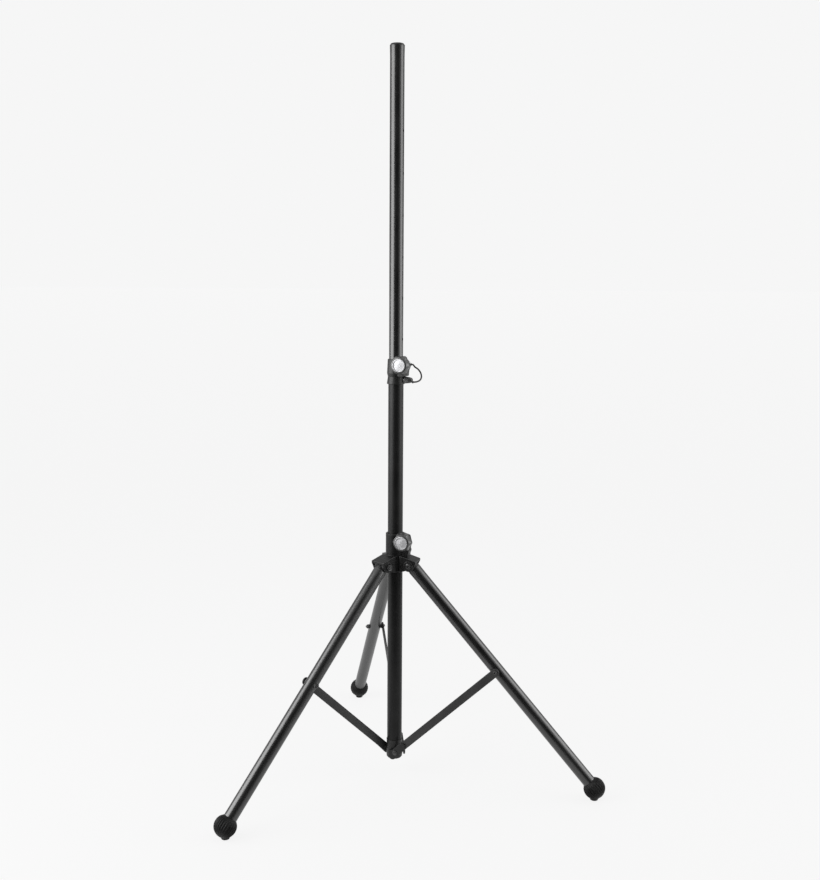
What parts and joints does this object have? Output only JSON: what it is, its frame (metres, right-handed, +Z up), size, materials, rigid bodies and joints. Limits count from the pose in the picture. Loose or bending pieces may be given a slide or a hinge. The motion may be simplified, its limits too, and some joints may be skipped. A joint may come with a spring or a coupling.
{
  "type": "tripod loudspeaker stand",
  "caption": "Black tripod stand for a PA loudspeaker: telescopic mast with a star-knob clamp and locking pin, sliding hub, folding braced legs and ball-shaped rubber feet.",
  "frame": {"origin": "on the floor, at the middle of the footprint's box; the mast's axis is 130.25 mm in front of it, towards -Y", "axes": "+Z up along the mast; +Y towards the rear leg; +X to the right seen from the front. The knobs face front left."},
  "size_m": [0.955, 0.8342, 1.83],
  "materials": {
    "outer_paint": "satin",
    "inner_paint": "semi-gloss",
    "leg_paint": "satin",
    "brace_paint": "satin",
    "moulded_plastic": "fine texture",
    "knob_plastic": "satin",
    "cap_plastic": "satin",
    "silver_disc": "turned",
    "zinc_steel": "zinc plated",
    "black_steel": "black oxide",
    "lanyard_wire": "plastic-coated wire",
    "foot_rubber": "ribbed, matt"
  },
  "bodies": {
    "mast": {"outer_tube": "outer_paint", "upper_collar": "moulded_plastic", "upper_collar_rivet": "black_steel", "upper_clamp_nut": "zinc_steel", "collar_ferrule": "black_steel", "bottom_bracket": "moulded_plastic", "bottom_bracket_rivet": "black_steel", "bracket_pin_head_1": "black_steel", "bracket_pin_head_2": "black_steel", "bracket_pin_head_3": "black_steel", "pin_lanyard": "lanyard_wire"},
    "inner_mast": {"inner_tube": "inner_paint", "inner_tube_cap": "cap_plastic", "inner_tube_guide": "cap_plastic"},
    "upper_knob": {"upper_knob": "knob_plastic", "upper_knob_disc": "silver_disc", "upper_knob_stud": "zinc_steel"},
    "locking_pin": {"locking_pin": "zinc_steel", "locking_pin_head": "knob_plastic", "pin_ferrule": "black_steel"},
    "hub": {"hub_body": "moulded_plastic", "hub_clamp_nut": "zinc_steel", "leg_pivot_bolt_1": "black_steel", "leg_pivot_nut_1": "black_steel", "leg_pivot_bolt_2": "black_steel", "leg_pivot_nut_2": "black_steel", "leg_pivot_bolt_3": "black_steel", "leg_pivot_nut_3": "black_steel"},
    "hub_knob": {"hub_knob": "knob_plastic", "hub_knob_disc": "silver_disc", "hub_knob_stud": "zinc_steel"},
    "leg_1": {"leg_head_1": "moulded_plastic", "leg_tube_1": "leg_paint", "rubber_foot_1": "foot_rubber", "brace_bolt_1": "black_steel", "brace_nut_1": "black_steel", "brace_spacer_1": "moulded_plastic"},
    "brace_1": {"brace_bar_1": "brace_paint", "brace_pin_1": "black_steel"},
    "leg_2": {"leg_head_2": "moulded_plastic", "leg_tube_2": "leg_paint", "rubber_foot_2": "foot_rubber", "brace_bolt_2": "black_steel", "brace_nut_2": "black_steel", "brace_spacer_2": "moulded_plastic"},
    "brace_2": {"brace_bar_2": "brace_paint", "brace_pin_2": "black_steel"},
    "leg_3": {"leg_head_3": "moulded_plastic", "leg_tube_3": "leg_paint", "rubber_foot_3": "foot_rubber", "brace_bolt_3": "black_steel", "brace_nut_3": "black_steel", "brace_spacer_3": "moulded_plastic"},
    "brace_3": {"brace_bar_3": "brace_paint", "brace_pin_3": "black_steel"}
  },
  "joints": [
    {"name": "mast_slide", "type": "slide", "parent": "mast", "child": "inner_mast", "axis": [0, 0, 1], "range_m": [-0.7, 0.08]},
    {"name": "upper_knob_turn", "type": "hinge", "parent": "mast", "child": "upper_knob", "pos_m": [0.00519, -0.16994, 1.066], "axis": [-0.5592, -0.829, 0], "range_deg": [-540, 180]},
    {"name": "pin_pull", "type": "slide", "parent": "mast", "child": "locking_pin", "axis": [0.829, -0.5592, 0], "range_m": [0, 0.04], "deforming": ["pin_lanyard"]},
    {"name": "hub_slide", "type": "slide", "parent": "mast", "child": "hub", "axis": [0, 0, 1], "range_m": [0, 0.19693]},
    {"name": "hub_knob_turn", "type": "hinge", "parent": "hub", "child": "hub_knob", "pos_m": [0.00985, -0.17058, 0.622], "axis": [-0.5, -0.866, 0], "range_deg": [-540, 180]},
    {"name": "leg_hinge_1", "type": "hinge", "parent": "hub", "child": "leg_1", "pos_m": [0, -0.08875, 0.55841], "axis": [-1, 0, 0], "range_deg": [0, 39.45]},
    {"name": "brace_hinge_1", "type": "hinge", "parent": "leg_1", "child": "brace_1", "pos_m": [0, 0.14004, 0.3061], "axis": [-1, 0, 0], "range_deg": [-78.47, 0]},
    {"name": "leg_hinge_2", "type": "hinge", "parent": "hub", "child": "leg_2", "pos_m": [-0.03594, -0.151, 0.55841], "axis": [0.5, -0.866, 0], "range_deg": [0, 39.45]},
    {"name": "brace_hinge_2", "type": "hinge", "parent": "leg_2", "child": "brace_2", "pos_m": [-0.23408, -0.26539, 0.3061], "axis": [0.5, -0.866, 0], "range_deg": [-78.47, 0]},
    {"name": "leg_hinge_3", "type": "hinge", "parent": "hub", "child": "leg_3", "pos_m": [0.03594, -0.151, 0.55841], "axis": [0.5, 0.866, 0], "range_deg": [0, 39.45]},
    {"name": "brace_hinge_3", "type": "hinge", "parent": "leg_3", "child": "brace_3", "pos_m": [0.23408, -0.26539, 0.3061], "axis": [0.5, 0.866, 0], "range_deg": [-78.47, 0]}
  ],
  "couplings": [
    {"joint": "leg_hinge_1", "follows": "hub_slide", "rad_per_m": 3.4919},
    {"joint": "brace_hinge_1", "follows": "hub_slide", "rad_per_m": -6.9497},
    {"joint": "leg_hinge_2", "follows": "hub_slide", "rad_per_m": 3.4919},
    {"joint": "brace_hinge_2", "follows": "hub_slide", "rad_per_m": -6.9497},
    {"joint": "leg_hinge_3", "follows": "hub_slide", "rad_per_m": 3.4919},
    {"joint": "brace_hinge_3", "follows": "hub_slide", "rad_per_m": -6.9497}
  ]
}
